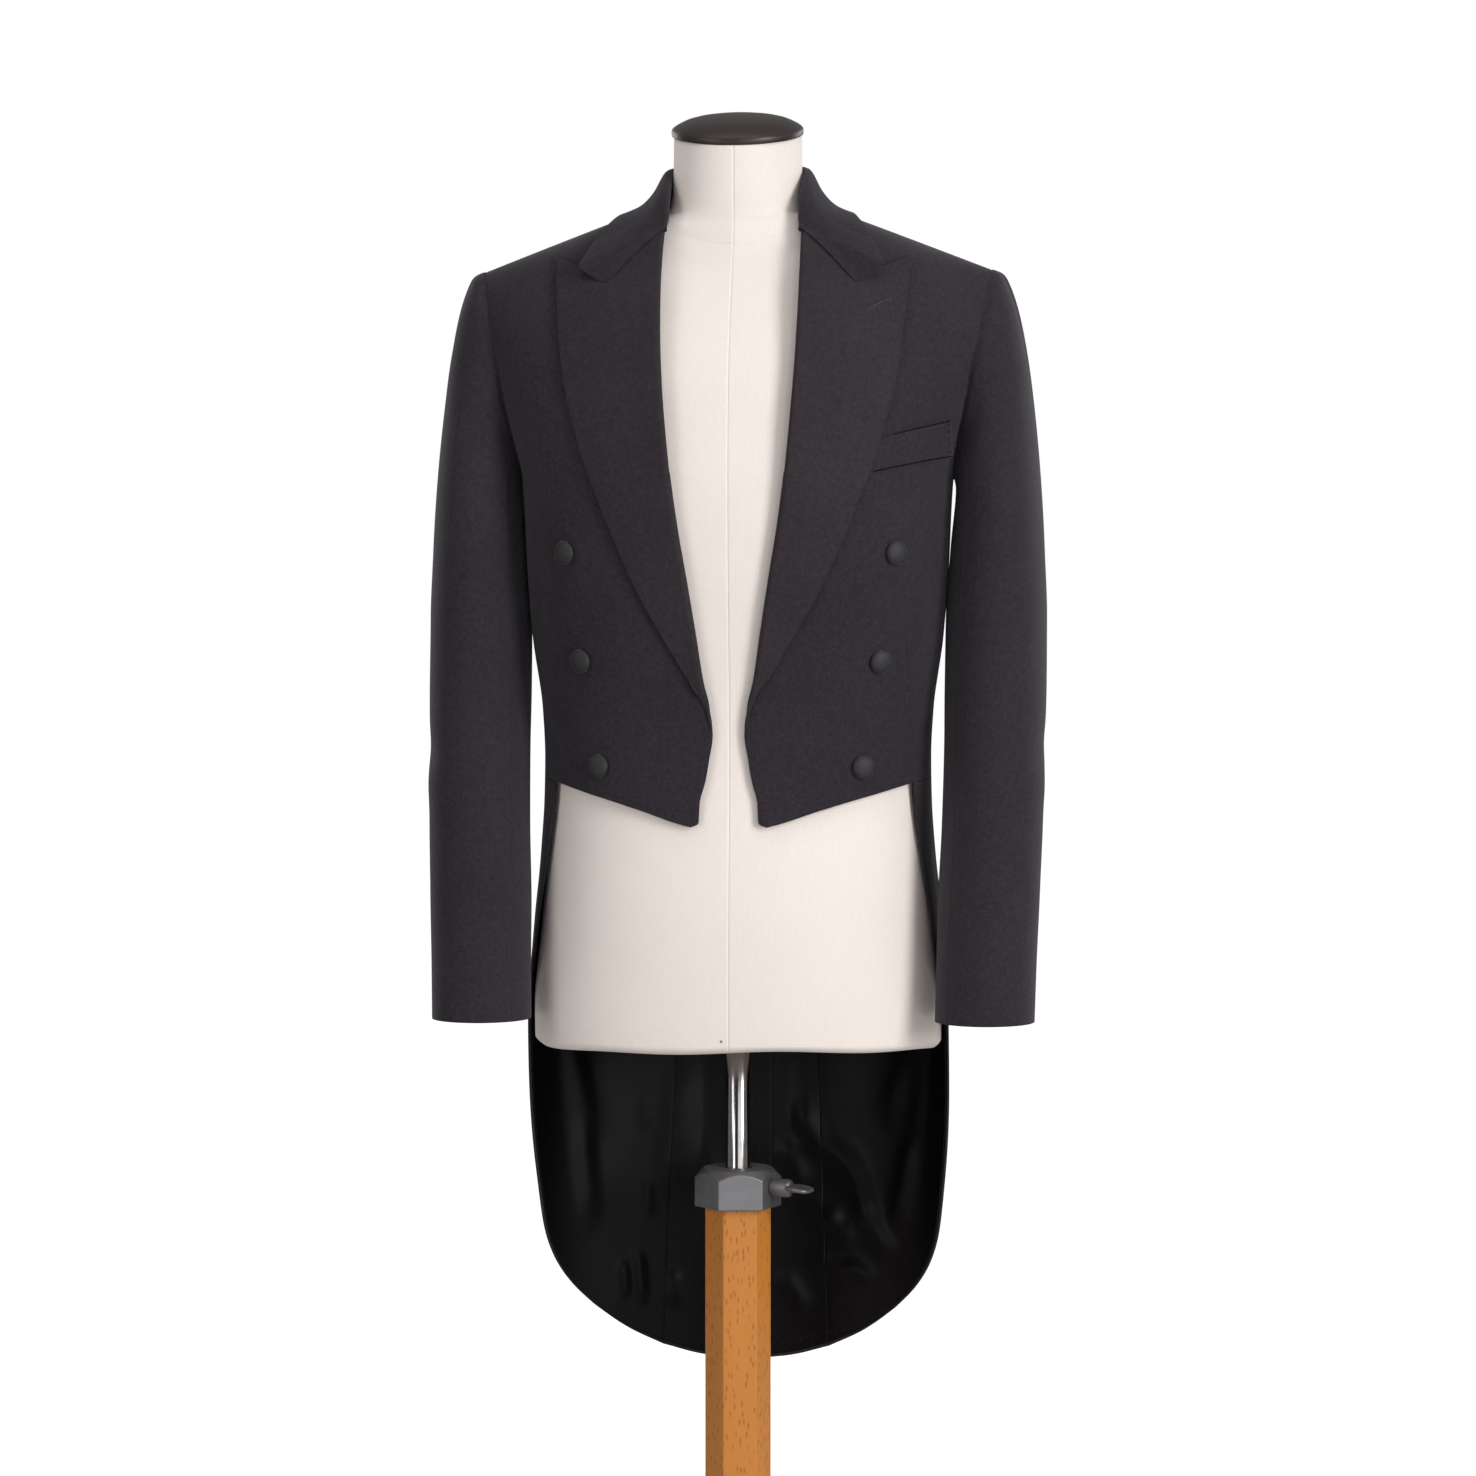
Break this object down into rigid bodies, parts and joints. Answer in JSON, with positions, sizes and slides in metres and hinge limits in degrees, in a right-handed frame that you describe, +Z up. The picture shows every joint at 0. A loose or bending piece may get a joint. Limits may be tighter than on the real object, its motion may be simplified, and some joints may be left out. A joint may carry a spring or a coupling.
{
  "type": "white tie tailcoat on a dress form with a stand",
  "caption": "Black evening tailcoat with silk peak lapels, cropped fronts and long tails, worn by a limbless linen dress form on a height-adjustable post stand.",
  "frame": {"origin": "centre of the base's underside, on the post's axis", "axes": "+Z up along the post, -Y the coat's front, +X the wearer's left"},
  "size_m": [0.5424, 0.4, 1.6042],
  "materials": {
    "coat_wool": "matt wool with a soft nap",
    "lapel_silk": "ribbed silk",
    "tail_satin": "satin",
    "covered_button": "silk stretched over a dome",
    "form_linen": "plain linen, tight over a padded body",
    "neck_cap": "dark stain, satin",
    "rod_chrome": "polished",
    "clamp_metal": "satin",
    "screw_metal": "satin",
    "post_beech": "clear lacquer",
    "base_beech": "clear lacquer"
  },
  "bodies": {
    "stand": {"base": "base_beech", "post": "post_beech", "clamp": "clamp_metal"},
    "screw": {"thumbscrew": "screw_metal"},
    "rod": {"height_rod": "rod_chrome"},
    "form": {"back_button_left": "covered_button", "back_button_right": "covered_button", "back_left": "coat_wool", "back_right": "coat_wool", "breast_welt": "coat_wool", "collar": "coat_wool", "cuff_button_left_1": "covered_button", "cuff_button_left_2": "covered_button", "cuff_button_left_3": "covered_button", "cuff_button_left_4": "covered_button", "cuff_button_right_1": "covered_button", "cuff_button_right_2": "covered_button", "cuff_button_right_3": "covered_button", "cuff_button_right_4": "covered_button", "form_torso": "form_linen", "front_button_left_1": "covered_button", "front_button_left_2": "covered_button", "front_button_left_3": "covered_button", "front_button_right_1": "covered_button", "front_button_right_2": "covered_button", "front_button_right_3": "covered_button", "front_left": "coat_wool", "front_right": "coat_wool", "lapel_left": "lapel_silk", "lapel_right": "lapel_silk", "neck_cap": "neck_cap", "side_body_left": "coat_wool", "side_body_right": "coat_wool", "skirt_left": "coat_wool", "skirt_lining_left": "tail_satin", "skirt_lining_right": "tail_satin", "skirt_right": "coat_wool", "tail_lining_left": "tail_satin", "tail_lining_right": "tail_satin", "top_sleeve_left": "coat_wool", "top_sleeve_right": "coat_wool", "undersleeve_left": "coat_wool", "undersleeve_right": "coat_wool"}
  },
  "joints": [
    {"name": "rod_height", "type": "slide", "parent": "stand", "child": "rod", "axis": [0, 0, 1], "range_m": [-0.09, 0.12]},
    {"name": "form_turn", "type": "hinge", "parent": "rod", "child": "form", "pos_m": [0, 0, 0.8], "axis": [0, 0, 1], "continuous": true},
    {"name": "screw_turn", "type": "hinge", "parent": "stand", "child": "screw", "pos_m": [0, 0, 0.6585], "axis": [0.9272, -0.3746, 0], "continuous": true}
  ]
}
